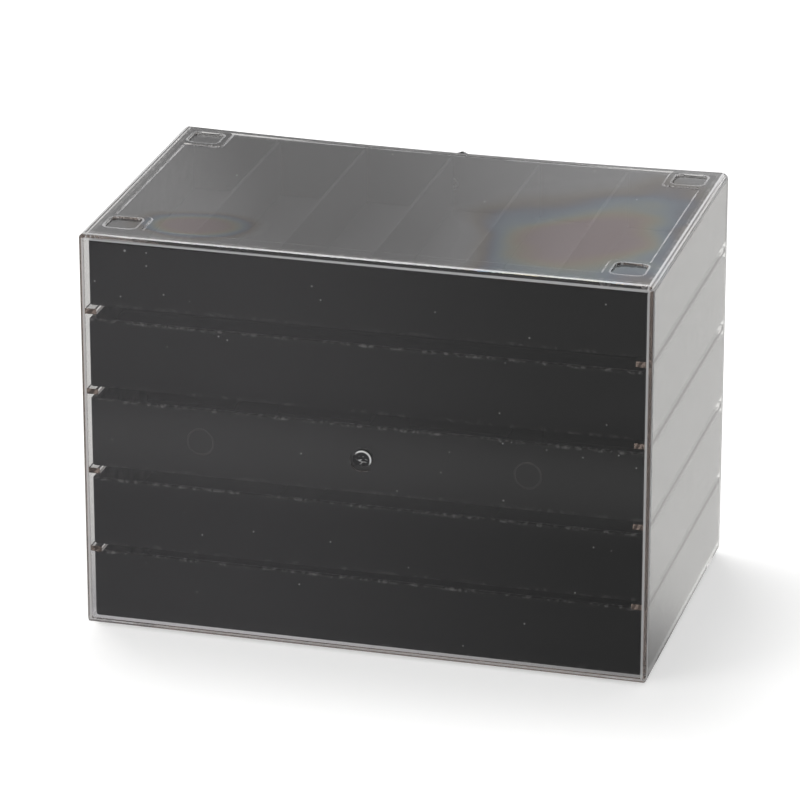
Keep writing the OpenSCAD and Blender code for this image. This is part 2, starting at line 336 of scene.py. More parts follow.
@dataclass
class PaintedEdgeLight:
    """Highlights painted in white along the steps of the case's top and along the rounded edges of the
    case.

    Attributes:
        side: Distance of the sunk panel and the pockets from the sides of the case.
        back: Distance of the panel and the back pockets from the back of the case.
        panel_front: Distance of the panel from the open front.
        pocket_front: Distance of the front pockets from the open front.
        pocket: Side of a corner pocket.
        border: Width of the border between a pocket and the panel.
        corner: Radius of the corners.
        deep: How far below the top the edge of a step may lie.
        line: Half the width of a painted highlight line.
        share: Lowest and highest share of painted white on a line.
        rounds: Share of painted white on the rounded edges of the case.
        begun: Largest part of the normal where a face begins to turn, and where it has turned enough.
        turning: Largest part of the normal where the painted highlight has faded on a round, and where it
            is whole.
        faded: Share of the painted highlight that is left in the middle of a round.
        inner: How much of the painted highlight the edges in the middle of a wall get, such as the witness
            rings.
        side_zone: How far past the panel the outer edges at the sides begin.
        end_zone: Height of the zones at the top and the bottom that hold the outer edges.
        white: Colour of the painted highlight on an edge.
    """

    side: float = 7.5 * MM
    back: float = 12 * MM
    panel_front: float = 3 * MM
    pocket_front: float = 5.5 * MM
    pocket: float = 14 * MM
    border: float = 3 * MM
    corner: float = 3 * MM
    deep: float = 2.2 * MM
    line: float = 0.5 * MM
    share: Span = (0.18, 0.42)
    rounds: float = 0.55
    begun: Span = (0.997, 0.985)
    turning: Span = (0.86, 0.92)
    faded: float = 0.12
    inner: float = 0.34
    side_zone: float = 3 * MM
    end_zone: float = 4 * MM
    white: Colour = (0.92, 0.92, 0.93)

    def __post_init__(self) -> None:
        """Works out the places of the panel and the pockets from the case's box."""
        low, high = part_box("case")
        half = self.pocket / 2
        panel_ends = (low.y + self.panel_front, high.y - self.back)
        pocket_rows = (low.y + self.pocket_front + half, high.y - self.back - half)
        self.top = high.z
        self.panel_y = (panel_ends[0] + panel_ends[1]) / 2
        self.panel_half = (high.x - self.side, (panel_ends[1] - panel_ends[0]) / 2)
        self.pocket_y = (pocket_rows[0] + pocket_rows[1]) / 2
        self.pocket_off = (high.x - self.side - half, (pocket_rows[1] - pocket_rows[0]) / 2, 0)

    def away(self, sheet: ShaderSheet, offset: Socket, half_x: float, half_y: float) -> Socket:
        """Distance from the outline of a rounded rectangle, below 0 inside it.

        Args:
            sheet: The material's nodes.
            offset: The place, as distances from the rectangle's middle.
            half_x: Half the width of the rectangle.
            half_y: Half its depth.

        Returns:
            The distance.
        """
        core = (half_x - self.corner, half_y - self.corner, 0)
        past = sheet.vectors("SUBTRACT", offset, core)
        outer = sheet.vectors("MAXIMUM", past, (0, 0, 0))
        return sheet.calc("SUBTRACT", sheet.vectors("LENGTH", outer), self.corner)

    def plan(self, sheet: ShaderSheet, y: float) -> Socket:
        """Distances in plan from a point on the middle line of the case, without their signs."""
        return sheet.vectors("ABSOLUTE", sheet.places(scale=(1, 1, 0), move=(0, -y, 0)))

    def stripe(self, sheet: ShaderSheet, value: Socket, middle: float) -> Socket:
        """A soft painted highlight line, 1 in its middle."""
        off = sheet.calc("ABSOLUTE", sheet.calc("SUBTRACT", value, middle), 0.0)
        return sheet.spread(off, 1.3 * self.line, 0.6 * self.line)

    def step_lines(self, sheet: ShaderSheet) -> Socket:
        """Share of painted highlight along the outlines of the panel and the pockets.

        Args:
            sheet: The material's nodes.

        Returns:
            The share.
        """
        panel = self.away(sheet, self.plan(sheet, self.panel_y), *self.panel_half)
        shift = sheet.vectors("SUBTRACT", self.plan(sheet, self.pocket_y), self.pocket_off)
        place = sheet.vectors("ABSOLUTE", shift)
        half = self.pocket / 2
        kept = half + self.border
        pocket = self.away(sheet, place, half, half)
        round_pocket = self.away(sheet, place, kept, kept)
        panel = sheet.calc("MAXIMUM", panel, sheet.calc("MULTIPLY", round_pocket, -1.0))
        lines = sheet.calc(
            "MAXIMUM", self.stripe(sheet, panel, -self.line), self.stripe(sheet, pocket, self.line)
        )
        height = sheet.split(sheet.places())[2]
        on_top = sheet.calc("GREATER_THAN", height, self.top - self.deep)
        strength = sheet.spread(sheet.noise(sheet.places(), 60, detail=2), 0.35, 0.65, *self.share)
        return sheet.calc("MULTIPLY", sheet.calc("MULTIPLY", lines, on_top), strength)

    def round_lines(self, sheet: ShaderSheet) -> Socket:
        """Share of painted highlight at both sides of each rounded edge, where its face just begins to
        turn.

        Args:
            sheet: The material's nodes.

        Returns:
            The share.
        """
        shape = sheet.add("ShaderNodeNewGeometry")
        x, y, z = sheet.split(sheet.vectors("ABSOLUTE", shape.outputs["Normal"]))
        level = sheet.calc("MAXIMUM", sheet.calc("MAXIMUM", x, y), z)
        turned = sheet.spread(level, *self.begun, 0.0, self.rounds)
        turned = sheet.calc("MULTIPLY", turned, sheet.spread(level, *self.turning, self.faded, 1.0))
        x, y, z = sheet.split(sheet.vectors("ABSOLUTE", sheet.places(move=(0, 0, -self.top / 2))))
        beside = sheet.calc("GREATER_THAN", x, self.panel_half[0] + self.side_zone)
        above = sheet.calc("GREATER_THAN", z, self.top / 2 - self.end_zone)
        outer = sheet.calc("MAXIMUM", beside, above)
        return sheet.calc("MULTIPLY", turned, sheet.calc("MAXIMUM", outer, self.inner))

    def build(self, sheet: ShaderSheet) -> Socket:
        """Share of painted highlight on all these edges.

        Args:
            sheet: The material's nodes.

        Returns:
            The share.
        """
        return sheet.calc("MAXIMUM", self.step_lines(sheet), self.round_lines(sheet))


@dataclass(frozen=True)
class ClearPlastic:
    """Clear moulded plastic with a little haze, gentle waves, stress colours and, if given, highlights
    painted in white along its edges.

    Attributes:
        name: Name of the material.
        ior: Refractive index.
        haze: Lowest and highest roughness.
        body: Colour of the plastic seen through a thick piece.
        density: How strongly a thick piece takes up light, per metre.
        wave: Height of the gentle waves of its surface.
        stress: Thickness in nanometres at which the strongest stress colour shows, or 0 for none.
        stress_from: Height above which stress colours show.
        film_ior: Refractive index of the film that stands for the stress.
        spots: The places round which stress colours show.
        painted_edge_light: The highlights painted along the edges, or nothing for none.
    """

    name: str
    ior: float = 1.5
    haze: Span = (0.002, 0.016)
    body: Colour = (0.19, 0.075, 0.01)
    density: float = 13.0
    wave: float = 0.03 * MM
    stress: float = 0.0
    stress_from: float = 0.0
    film_ior: float = 1.41
    spots: tuple[StressSpot, ...] = ()
    painted_edge_light: PaintedEdgeLight | None = None

    def film(self, sheet: ShaderSheet, places: Socket) -> Socket:
        """Thickness of the film that stands for the stress colours, thickest in the middle of each spot.

        Args:
            sheet: The material's nodes.
            places: The places on the piece.

        Returns:
            The thickness in nanometres.
        """
        on_top = sheet.calc("GREATER_THAN", sheet.split(places)[2], self.stress_from)
        stray = sheet.spread(sheet.noise(places, 22, detail=1.5), 0.3, 0.7, -0.14, 0.14)
        thickness = 0.0
        for spot in self.spots:
            shares = (1 / spot.reach_x, 1 / spot.reach_y, 0)
            offset = sheet.places(scale=shares, move=(-spot.x, -spot.y, 0))
            away = sheet.calc("ADD", sheet.vectors("LENGTH", offset), stray)
            ring = sheet.spread(away, 1.0, 0.2, 0.0, self.stress)
            thickness = sheet.calc("MAXIMUM", ring, thickness)
        return sheet.calc("MULTIPLY", on_top, thickness)

    def build(self) -> bpy.types.Material:
        """Makes the material."""
        material, sheet = new_material(self.name)
        places = sheet.places()
        smear = sheet.noise(places, 26, detail=4)
        shader = sheet.principled(
            base_color=(1.0, 1.0, 1.0),
            roughness=sheet.spread(smear, 0.45, 0.8, *self.haze),
            transmission_weight=1.0,
            ior=self.ior,
            normal=sheet.bump(sheet.noise(places, 24, detail=1), self.wave),
        )
        if self.spots:
            sheet.feed(shader.inputs["Thin Film Thickness"], self.film(sheet, places))
            shader.inputs["Thin Film IOR"].default_value = self.film_ior
        seen = shader.outputs["BSDF"]
        if self.painted_edge_light:
            # painted highlight: white plastic mixed into the clear plastic along the edges
            bright = sheet.principled(
                base_color=self.painted_edge_light.white, roughness=sheet.spread(smear, 0.4, 0.8, 0.4, 0.6)
            )
            seen = sheet.mix(self.painted_edge_light.build(sheet), seen, bright.outputs["BSDF"])
        clear = sheet.add("ShaderNodeBsdfTransparent")
        path = sheet.add("ShaderNodeLightPath")
        seen = sheet.mix(path.outputs["Is Shadow Ray"], seen, clear.outputs["BSDF"])
        volume = sheet.add("ShaderNodeVolumeAbsorption")
        sheet.feed(volume.inputs["Color"], self.body)
        volume.inputs["Density"].default_value = self.density
        sheet.surface(seen, volume.outputs["Volume"])
        return material


@dataclass(frozen=True)
class BrokenPlastic:
    """Plastic of a gate stub, rough where the sprue was broken off, with a painted highlight on the lit
    side of its rim, specks of painted highlight on its broken face, and the dark drawers behind it painted
    in as a dark colour.

    Attributes:
        name: Name of the material.
        middle: Middle of the stub.
        radius: Radius of the stub.
        lit_from: Direction, in the plane of the wall, from which the painted highlight on the rim seems
            lit.
        dark: Colour painted in for the plastic with the dark drawers seen behind it.
        white: Colour of the painted highlights.
        depth: Depth of the broken surface.
    """

    name: str
    middle: Triple
    radius: float = 4 * MM
    lit_from: Triple = (-0.57, 0.0, 0.82)
    dark: Colour = (0.022, 0.022, 0.023)
    white: Colour = (0.95, 0.95, 0.95)
    depth: float = 0.12 * MM

    def build(self) -> bpy.types.Material:
        """Makes the material."""
        material, sheet = new_material(self.name)
        x, _, z = self.middle
        offset = sheet.places(scale=(1, 0, 1), move=(-x, 0, -z))
        radius = sheet.vectors("LENGTH", offset)
        lit = sheet.vectors("DOT_PRODUCT", offset, self.lit_from)
        # painted highlight: a crescent on the side of the rim that faces lit_from
        rim = sheet.calc(
            "MULTIPLY",
            sheet.spread(radius, 0.80 * self.radius, 0.92 * self.radius),
            sheet.spread(lit, -0.15 * self.radius, 0.5 * self.radius),
        )
        chips = sheet.noise(sheet.places(scale=(1, 1, 2.4)), 600, detail=2)
        # painted highlight: bright specks on the broken face
        painted_glints = sheet.calc(
            "MULTIPLY",
            sheet.spread(chips, 0.52, 0.68),
            sheet.spread(radius, 0.7 * self.radius, 0.1 * self.radius, 0.0, 0.6),
        )
        shader = sheet.principled(
            base_color=sheet.blend(sheet.calc("MAXIMUM", rim, painted_glints), self.dark, self.white),
            roughness=sheet.spread(chips, 0.3, 0.7, 0.08, 0.3),
            normal=sheet.bump(chips, self.depth),
        )
        sheet.surface(shader.outputs["BSDF"])
        return material


@dataclass(frozen=True)
class BlackPlastic:
    """Black satin plastic with a fine mould grain, specks of dust and scuffs along the rim.

    Attributes:
        name: Name of the material.
        base: Colour of the plastic.
        worn: Colour where it is scuffed.
        dust: Colour of a speck of dust.
        underside: Height of the piece's underside, from which the rim is measured.
        rim: Height of the rim above the underside.
        drift: How far the dust moves across for each metre of height, so that no two drawers match.
        rim_wear: How far below the rim the scuffs begin, and where they are strongest.
        foot_wear: How far above the underside the scuffs end, and where they are strongest.
        foot_share: Strength of the scuffs at the underside, as a share of those at the rim.
    """

    name: str
    base: Colour = (0.0028, 0.0028, 0.003)
    worn: Colour = (0.16, 0.157, 0.154)
    dust: Colour = (0.34, 0.34, 0.33)
    underside: float = 0.0
    rim: float = 29 * MM
    drift: float = 17.3
    rim_wear: Span = (1.6 * MM, 0.3 * MM)
    foot_wear: Span = (2.5 * MM, 0.3 * MM)
    foot_share: float = 0.35

    def build(self) -> bpy.types.Material:
        """Makes the material."""
        material, sheet = new_material(self.name)
        places = sheet.places(move=(self.drift * self.underside, 0, -self.underside))
        height = sheet.split(places)[2]
        mottle = sheet.noise(places, 55, detail=4)
        cloudy = sheet.spread(mottle, 0.35, 0.75)
        tone = sheet.blend(cloudy, self.base, tuple(1.45 * c for c in self.base))
        near_rim = sheet.spread(height, self.rim - self.rim_wear[0], self.rim - self.rim_wear[1])
        near_foot = sheet.spread(height, *self.foot_wear, 0.0, self.foot_share)
        rubbed = sheet.calc("MAXIMUM", near_rim, near_foot)
        streak = sheet.spread(sheet.noise(places, 420, detail=5, rough=0.7), 0.46, 0.68)
        scuff = sheet.calc("MULTIPLY", rubbed, streak)
        tone = sheet.blend(scuff, tone, self.worn)
        fine = sheet.specks(places, 260, 0.12, 0.08)
        coarse = sheet.specks(places, 90, 0.065, 0.14)
        tone = sheet.blend(sheet.calc("MAXIMUM", fine, coarse), tone, self.dust)
        grain = sheet.noise(places, 1500, detail=2)
        shine = sheet.spread(sheet.noise(places, 140, detail=4), 0.3, 0.75, 0.36, 0.52)
        shader = sheet.principled(
            base_color=tone,
            roughness=sheet.calc("ADD", shine, sheet.calc("MULTIPLY", scuff, 0.2)),
            ior=1.48,
            specular_ior_level=0.1,
            normal=sheet.bump(grain, 0.02 * MM, 0.5),
        )
        sheet.surface(shader.outputs["BSDF"])
        return material


@dataclass(frozen=True)
class Velour:
    """Short black pile, with a lighter colour painted as sheen in patches where the pile lies towards the
    light.

    Attributes:
        name: Name of the material.
        base: Colour of the pile.
        brushed_sheen: Colour painted as sheen where the pile lies towards the light.
        stroke: Size of the patches of painted sheen along each axis, as a stretch.
    """

    name: str
    base: Colour = (0.010, 0.010, 0.0108)
    brushed_sheen: Colour = (0.024, 0.024, 0.0255)
    stroke: Triple = (1.0, 0.4, 1.0)

    def build(self) -> bpy.types.Material:
        """Makes the material."""
        material, sheet = new_material(self.name)
        places = sheet.places()
        patches = sheet.noise(sheet.places(scale=self.stroke), 34, detail=3)
        tufts = sheet.noise(places, 2600, detail=2)
        # patches of painted sheen where the pile lies towards the light; the tufts add a random tone
        brushed_sheen = sheet.spread(patches, 0.4, 0.7, 0.0, 0.7)
        lie = sheet.calc("ADD", brushed_sheen, sheet.spread(tufts, 0.3, 0.8, 0.0, 0.3))
        shader = sheet.principled(
            base_color=sheet.blend(lie, self.base, self.brushed_sheen),
            roughness=sheet.spread(tufts, 0.2, 0.8, 0.85, 1.0),
            sheen_weight=0.07,
            sheen_roughness=0.45,
            sheen_tint=(0.55, 0.55, 0.58),
            specular_ior_level=0.1,
            normal=sheet.bump(tufts, 0.25 * MM, 0.8),
        )
        sheet.surface(shader.outputs["BSDF"])
        return material


@dataclass(frozen=True)
class ScrewSteel:
    """Zinc-plated steel, slightly mottled.

    Attributes:
        name: Name of the material.
        light: Colour of the plating.
        dull: Colour of the duller patches.
    """

    name: str
    light: Colour = (0.66, 0.66, 0.65)
    dull: Colour = (0.42, 0.42, 0.43)

    def build(self) -> bpy.types.Material:
        """Makes the material."""
        material, sheet = new_material(self.name)
        places = sheet.places()
        patches = sheet.noise(places, 700, detail=4)
        shader = sheet.principled(
            base_color=sheet.blend(sheet.spread(patches, 0.4, 0.7), self.light, self.dull),
            metallic=1.0,
            roughness=sheet.spread(patches, 0.3, 0.7, 0.22, 0.42),
            normal=sheet.bump(sheet.noise(places, 3000, detail=2), 0.02 * MM, 0.4),
        )
        sheet.surface(shader.outputs["BSDF"])
        return material


def new_piece(name: str, mesh: bpy.types.Mesh) -> bpy.types.Object:
    """Puts a mesh into the scene as a piece at the origin.

    Args:
        name: Name of the piece.
        mesh: Its mesh, already in place.

    Returns:
        The new object.
    """
    piece = bpy.data.objects.new(name, mesh)
    bpy.context.scene.collection.objects.link(piece)
    return piece


def bake(piece: bpy.types.Object) -> bpy.types.Object:
    """Turns a piece's modifiers into a plain mesh.

    Args:
        piece: The object with its modifiers.

    Returns:
        The same object, with the evaluated mesh and no modifiers.
    """
    graph = bpy.context.evaluated_depsgraph_get()
    mesh = bpy.data.meshes.new_from_object(
        piece.evaluated_get(graph), preserve_all_data_layers=True, depsgraph=graph
    )
    piece.modifiers.clear()
    piece.data = mesh
    return piece


def merged_copy(node: str) -> bmesh.types.BMesh:
    """Copies a CAD node's triangles, joins them and clears the lines across flat faces.

    Args:
        node: Name of the CAD node.

    Returns:
        The joined copy.
    """
    bm = bmesh.new()
    bm.from_mesh(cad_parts[node].data)
    bmesh.ops.remove_doubles(bm, verts=bm.verts[:], dist=MERGE_DISTANCE)
    bmesh.ops.dissolve_limit(bm, angle_limit=FLAT_ANGLE, verts=bm.verts[:], edges=bm.edges[:])
    return bm


def sharp_edges(bm: bmesh.types.BMesh, angle: float = EDGE_ANGLE) -> list[bmesh.types.BMEdge]:
    """Edges where two faces meet at more than an angle."""
    return [e for e in bm.edges if len(e.link_faces) == 2 and e.calc_face_angle(0.0) > angle]


def edge_middle(edge: bmesh.types.BMEdge) -> Vector:
    """The middle of an edge."""
    return (edge.verts[0].co + edge.verts[1].co) / 2


def round_edges(
    bm: bmesh.types.BMesh, edges: list[bmesh.types.BMEdge], width: float, steps: int, slide: bool = True
) -> None:
    """Rounds a set of edges.

    Args:
        bm: The mesh.
        edges: Its edges to round.
        width: Distance from the old edge to each side of the round.
        steps: Number of faces across the round.
        slide: Whether the ends of a round follow the other edges that meet there.
    """
    if edges:
        bmesh.ops.bevel(
            bm, geom=edges, offset=width, offset_type="OFFSET", segments=steps,
            profile=0.5, affect="EDGES", clamp_overlap=True, loop_slide=slide,
        )


def join_loops(
    bm: bmesh.types.BMesh, first: list[bmesh.types.BMVert], second: list[bmesh.types.BMVert]
) -> None:
    """Makes a band of faces between two closed loops of points.

    Args:
        bm: The mesh.
        first: The points of one loop, in order.
        second: The points of the other loop, as many and in the same order.
    """
    count = len(first)
    for k in range(count):
        after = (k + 1) % count
        bm.faces.new((first[k], first[after], second[after], second[k]))


def even_normals(piece: bpy.types.Object) -> bpy.types.Object:
    """Lets the flat faces of a piece shade flat beside its rounds.

    Args:
        piece: The piece.

    Returns:
        The same piece.
    """
    piece.data.shade_smooth()
    piece.data.set_sharp_from_angle(angle=CREASE_ANGLE)
    normals = piece.modifiers.new("even_normals", "WEIGHTED_NORMAL")
    normals.mode = "FACE_AREA"
    normals.weight = 50
    normals.keep_sharp = True
    return bake(piece)


def piece_from(name: str, bm: bmesh.types.BMesh) -> bpy.types.Object:
    """Makes a piece from a mesh in work, which is freed.

    Args:
        name: Name of the piece.
        bm: The mesh in work.

    Returns:
        The new object.
    """
    mesh = bpy.data.meshes.new(name)
    bm.to_mesh(mesh)
    bm.free()
    return new_piece(name, mesh)


def dress(
    piece: bpy.types.Object, finish: bpy.types.Material, body: str, node: str
) -> bpy.types.Object:
    """Gives a piece its finish and hands it to the body that it rides on.

    Args:
        piece: The finished piece.
        finish: Its material.
        body: The CAD body that it rides on.
        node: The CAD node that it stands for.

    Returns:
        The same piece.
    """
    piece.data.materials.clear()
    piece.data.materials.append(finish)
    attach(piece, body)
    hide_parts(node)
    log.info("%s on %s: %d faces", piece.name, body, len(piece.data.polygons))
    return piece


class ShapeTree:
    """Builds one Geometry Nodes tree with named inputs.

    Args:
        name: Name of the tree.
    """

    def __init__(self, name: str) -> None:
        self.tree = bpy.data.node_groups.new(name, "GeometryNodeTree")
        face = self.tree.interface
        face.new_socket("Geometry", in_out="INPUT", socket_type="NodeSocketGeometry")
        face.new_socket("Geometry", in_out="OUTPUT", socket_type="NodeSocketGeometry")
        self.source = self.tree.nodes.new("NodeGroupInput")
        self.keys: dict[str, str] = {}

    @property
    def geometry(self) -> Socket:
        """The mesh that the tree starts from."""
        return self.source.outputs["Geometry"]

    def input(self, name: str, kind: str) -> Socket:
        """Adds a named input.

        Args:
            name: Name of the input.
            kind: Its type, such as Float or Vector.

        Returns:
            The socket that gives its value.
        """
        item = self.tree.interface.new_socket(name, in_out="INPUT", socket_type=f"NodeSocket{kind}")
        self.keys[name] = item.identifier
        return self.source.outputs[name]

    def add(self, kind: str, inputs: dict[str, object], **settings: object) -> Socket:
        """Adds a node and feeds it.

        Args:
            kind: Blender's name for the node type, without its first part.
            inputs: Sockets, lists of sockets or plain values, by input name.
            settings: Properties of the node, by name.

        Returns:
            The node's first output.
        """
        node = self.tree.nodes.new(f"GeometryNode{kind}")
        for name, value in settings.items():
            setattr(node, name, value)
        for name, value in inputs.items():
            for part in value if isinstance(value, list) else [value]:
                if isinstance(part, bpy.types.NodeSocket):
                    self.tree.links.new(part, node.inputs[name])
                else:
                    node.inputs[name].default_value = part
        return node.outputs[0]

    def finish(self, shape: Socket) -> None:
        """Ends the tree: instances made real, and the finish set from its own input.

        Args:
            shape: The finished geometry.
        """
        real = self.add("RealizeInstances", {"Geometry": shape})
        painted = self.add("SetMaterial", {"Geometry": real, "Material": self.input("Finish", "Material")})
        output = self.tree.nodes.new("NodeGroupOutput")
        self.tree.links.new(painted, output.inputs["Geometry"])

    def run(self, piece: bpy.types.Object, values: dict[str, object]) -> bpy.types.Object:
        """Runs the tree on a piece and turns the result into a plain mesh.

        Args:
            piece: The piece whose mesh the tree starts from.
            values: The values of the tree's inputs, by name.

        Returns:
            The same piece.
        """
        modifier = piece.modifiers.new(self.tree.name, "NODES")
        modifier.node_group = self.tree
        for name, value in values.items():
            modifier[self.keys[name]] = value
        return bake(piece)


class CaseEdge(Enum):
    """Kinds of edge on the case, each with the width of its round and the faces across it."""

    FRONT_RIM = (0.5 * MM, 3)
    TOP_STEP = (0.22 * MM, 3)
    FOOT = (0.35 * MM, 2)
    STUB = (0.4 * MM, 4)
    GATE = (0.22 * MM, 3)
    RING = (0.08 * MM, 2)
    CORNER = (0.9 * MM, 5)
    INSIDE = (0.45 * MM, 3)


@dataclass
class ClearCase:
    """The clear case with its rails, stacking top and feet.

    Attributes:
        foot_h: Height of the feet.
        pocket_depth: Depth of the corner pockets in the top.
        wall: Thickness of the walls.
        gate_depth: Depth of the dish round the gate mark in the back wall.
        stub_drop: How far the gate stub stays below the outside of the back wall.
        ring_x: Distance of a witness ring from the middle.
        ring_reach: Largest radius of a witness ring.
        sag: How far the middle of the top's outer face sinks at the open front.
        roof_sag: How far the middle of its underside sinks there.
        cuts: Number of strips that the top is cut into along each axis, so that it can sink smoothly.
        corner: Length of the parts of the round edges that belong to the case's corners.
        stub_r: Radius of the gate stub.
        ring_fade: Share of the depth of the witness rings that wear has left.
        near: How close to a face an edge has to lie to count as on it.
    """

    foot_h: float = FOOT_H
    pocket_depth: float = 0.9 * MM
    wall: float = 2.4 * MM
    gate_depth: float = 0.8 * MM
    stub_drop: float = 0.15 * MM
    ring_x: float = 72 * MM
    ring_reach: float = 6.2 * MM
    sag: float = 1.6 * MM
    roof_sag: float = 0.3 * MM
    cuts: tuple[int, int] = (16, 6)
    corner: float = 3.3 * MM
    stub_r: float = 4.0 * MM
    ring_fade: float = 0.7
    near: float = 0.05 * MM

    def __post_init__(self) -> None:
        """Takes the case's box from the frame and works out its middle and its roof."""
        self.low, self.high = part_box("case")
        self.middle_z = (self.foot_h + self.high.z) / 2
        self.roof_z = self.high.z - self.wall

    def kind_of(self, edge: bmesh.types.BMEdge) -> CaseEdge:
        """Tells what kind of edge an edge of the case is.

        Args:
            edge: A sharp edge of the case's copy.

        Returns:
            Its kind.
        """
        middle = edge_middle(edge)
        if middle.z > self.high.z - self.pocket_depth - self.near:
            return CaseEdge.TOP_STEP
        if middle.z < self.foot_h + self.near:
            return CaseEdge.FOOT
        if middle.y < self.low.y + self.near:
            return CaseEdge.FRONT_RIM
        if abs(middle.y - self.high.y + self.stub_drop) < self.near:
            return CaseEdge.STUB
        if middle.y > self.high.y - self.gate_depth - self.near:
            return CaseEdge.GATE
        mark = Vector((math.copysign(self.ring_x, middle.x), middle.y, self.middle_z))
        if middle.y > self.high.y - self.wall - self.near and (middle - mark).length < self.ring_reach:
            return CaseEdge.RING
        behind = abs(middle.y - self.high.y + self.wall) < self.near
        under_roof = self.roof_z - middle.z < self.near
        at_side = self.high.x - self.wall - abs(middle.x) < self.near
        if behind and (under_roof or at_side):
            return CaseEdge.CORNER
        return CaseEdge.INSIDE

    def sink_top(self, bm: bmesh.types.BMesh) -> None:
        """Lets the unsupported front of the top sink, as the mouldings of such cases do.

        Args:
            bm: The case in work.
        """
        size = self.high - self.low
        for axis, count in enumerate(self.cuts):
            for k in range(1, count):
                place, normal = self.low.copy(), Vector((0, 0, 0))
                place[axis] += size[axis] * k / count
                normal[axis] = 1.0
                faces = [f for f in bm.faces if max(v.co.z for v in f.verts) > self.roof_z - self.near]
                geometry = {g for f in faces for g in (f, *f.edges, *f.verts)}
                bmesh.ops.bisect_plane(bm, geom=list(geometry), plane_co=place, plane_no=normal)
        for vert in bm.verts:
            if vert.co.z > self.roof_z - self.near:
                across = 1 - (2 * vert.co.x / size.x) ** 2
                along = (self.high.y - vert.co.y) / size.y
                up = (vert.co.z - self.roof_z) / self.wall
                vert.co.z -= (self.roof_sag + up * (self.sag - self.roof_sag)) * across * along**2

    def part_corners(self, bm: bmesh.types.BMesh) -> None:
        """Cuts the long round edges next to the corners, so that the corners' normals stay in the corners.

        Args:
            bm: The case in work.
        """
        ends = (
            (0, self.low.x + self.corner),
            (0, self.high.x - self.corner),
            (1, self.high.y - self.corner),
            (2, self.foot_h + self.corner),
            (2, self.high.z - self.corner),
        )
        for axis, at in ends:
            place, normal = Vector((0, 0, 0)), Vector((0, 0, 0))
            place[axis], normal[axis] = at, 1.0
            geometry = [*bm.verts, *bm.edges, *bm.faces]
            bmesh.ops.bisect_plane(bm, geom=geometry, plane_co=place, plane_no=normal)

    def fade_rings(self, bm: bmesh.types.BMesh) -> None:
        """Makes the grooves of the witness rings as shallow as wear has left them.

        Args:
            bm: The case in work.
        """
        inside_y = self.high.y - self.wall
        for vert in bm.verts:
            across = Vector((abs(vert.co.x) - self.ring_x, vert.co.z - self.middle_z))
            if inside_y < vert.co.y < inside_y + 0.3 * self.wall and across.length < 1.2 * self.ring_reach:
                vert.co.y = inside_y + self.ring_fade * (vert.co.y - inside_y)

    def on_stub(self, place: Vector) -> bool:
        """Tells whether a place lies on the rim or on the broken face of the gate stub, which carry
        painted highlights.
        """
        across = Vector((place.x, place.z - self.middle_z))
        deep = self.high.y - place.y
        return across.length < self.stub_r and self.stub_drop - self.near < deep < 0.7 * self.gate_depth

    def build(self, finish: bpy.types.Material, broken: bpy.types.Material) -> bpy.types.Object:
        """Makes the case.

        Args:
            finish: Its material.
            broken: The material of the gate stub, with its painted highlights.

        Returns:
            The piece.
        """
        bm = merged_copy("case")
        self.fade_rings(bm)
        for kind in CaseEdge:
            edges = [e for e in sharp_edges(bm) if self.kind_of(e) is kind]
            round_edges(bm, edges, *kind.value)
        self.part_corners(bm)
        self.sink_top(bm)
        piece = even_normals(piece_from("clear_case", bm))
        dress(piece, finish, "case", "case")
        piece.data.materials.append(broken)
        for face in piece.data.polygons:
            face.material_index = int(self.on_stub(face.center))
        return piece


class TrayEdge(Enum):
    """Kinds of edge on a drawer, each with the width of its round and the faces across it."""

    HOLE = (0.12 * MM, 2)
    FRONT = (0.5 * MM, 3)
    RIM = (0.4 * MM, 3)
    INSIDE = (0.2 * MM, 2)


@dataclass
class DrawerTray:
    """One black drawer.

    Attributes:
        number: Which drawer, counted from the top.
        hole_reach: Radius that the counterbore of the screw stays inside.
        near: How close to a face an edge has to lie to count as on it.
    """

    number: int
    hole_reach: float = 3.6 * MM
    near: float = 0.05 * MM

    def __post_init__(self) -> None:
        """Takes the drawer's box from the frame."""
        self.low, self.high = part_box(f"drawer_{self.number}")

    def kind_of(self, edge: bmesh.types.BMEdge) -> TrayEdge:
        """Tells what kind of edge an edge of the drawer is.

        Args:
            edge: A sharp edge of the drawer's copy.

        Returns:
            Its kind.
        """
        middle = edge_middle(edge)
        axis = Vector((0, middle.y, (self.low.z + self.high.z) / 2))
        if (middle - axis).length < self.hole_reach:
            return TrayEdge.HOLE
        if middle.y < self.low.y + self.near:
            return TrayEdge.FRONT
        if middle.z > self.high.z - self.near:
            return TrayEdge.RIM
        return TrayEdge.INSIDE

    def build(self, finish: bpy.types.Material) -> bpy.types.Object:
        """Makes the drawer.

        Args:
            finish: Its material.

        Returns:
            The piece.
        """
        node = f"drawer_{self.number}"
        bm = merged_copy(node)
        for kind in TrayEdge:
            edges = [e for e in sharp_edges(bm) if self.kind_of(e) is kind]
            round_edges(bm, edges, *kind.value, slide=kind is not TrayEdge.FRONT)
        piece = even_normals(piece_from(f"tray_{self.number}", bm))
        return dress(piece, finish, node, node)


@dataclass
class FacetedKnob:
    """One clear knob, cut in eight facets round its axis.

    Attributes:
        number: Which drawer it is on, counted from the top.
        facet_angle: Angle past which an edge is the edge of a facet.
        softening: Width of the round on the facets' edges.
    """

    number: int
    facet_angle: float = math.radians(20)
    softening: float = 0.18 * MM

    def build(self, finish: bpy.types.Material) -> bpy.types.Object:
        """Makes the knob.

        Args:
            finish: Its material.

        Returns:
            The piece.
        """
        node = f"knob_{self.number}"
        bm = merged_copy(node)
        round_edges(bm, sharp_edges(bm, self.facet_angle), self.softening, 2)
        piece = even_normals(piece_from(f"faceted_knob_{self.number}", bm))
        return dress(piece, finish, f"drawer_{self.number}", node)


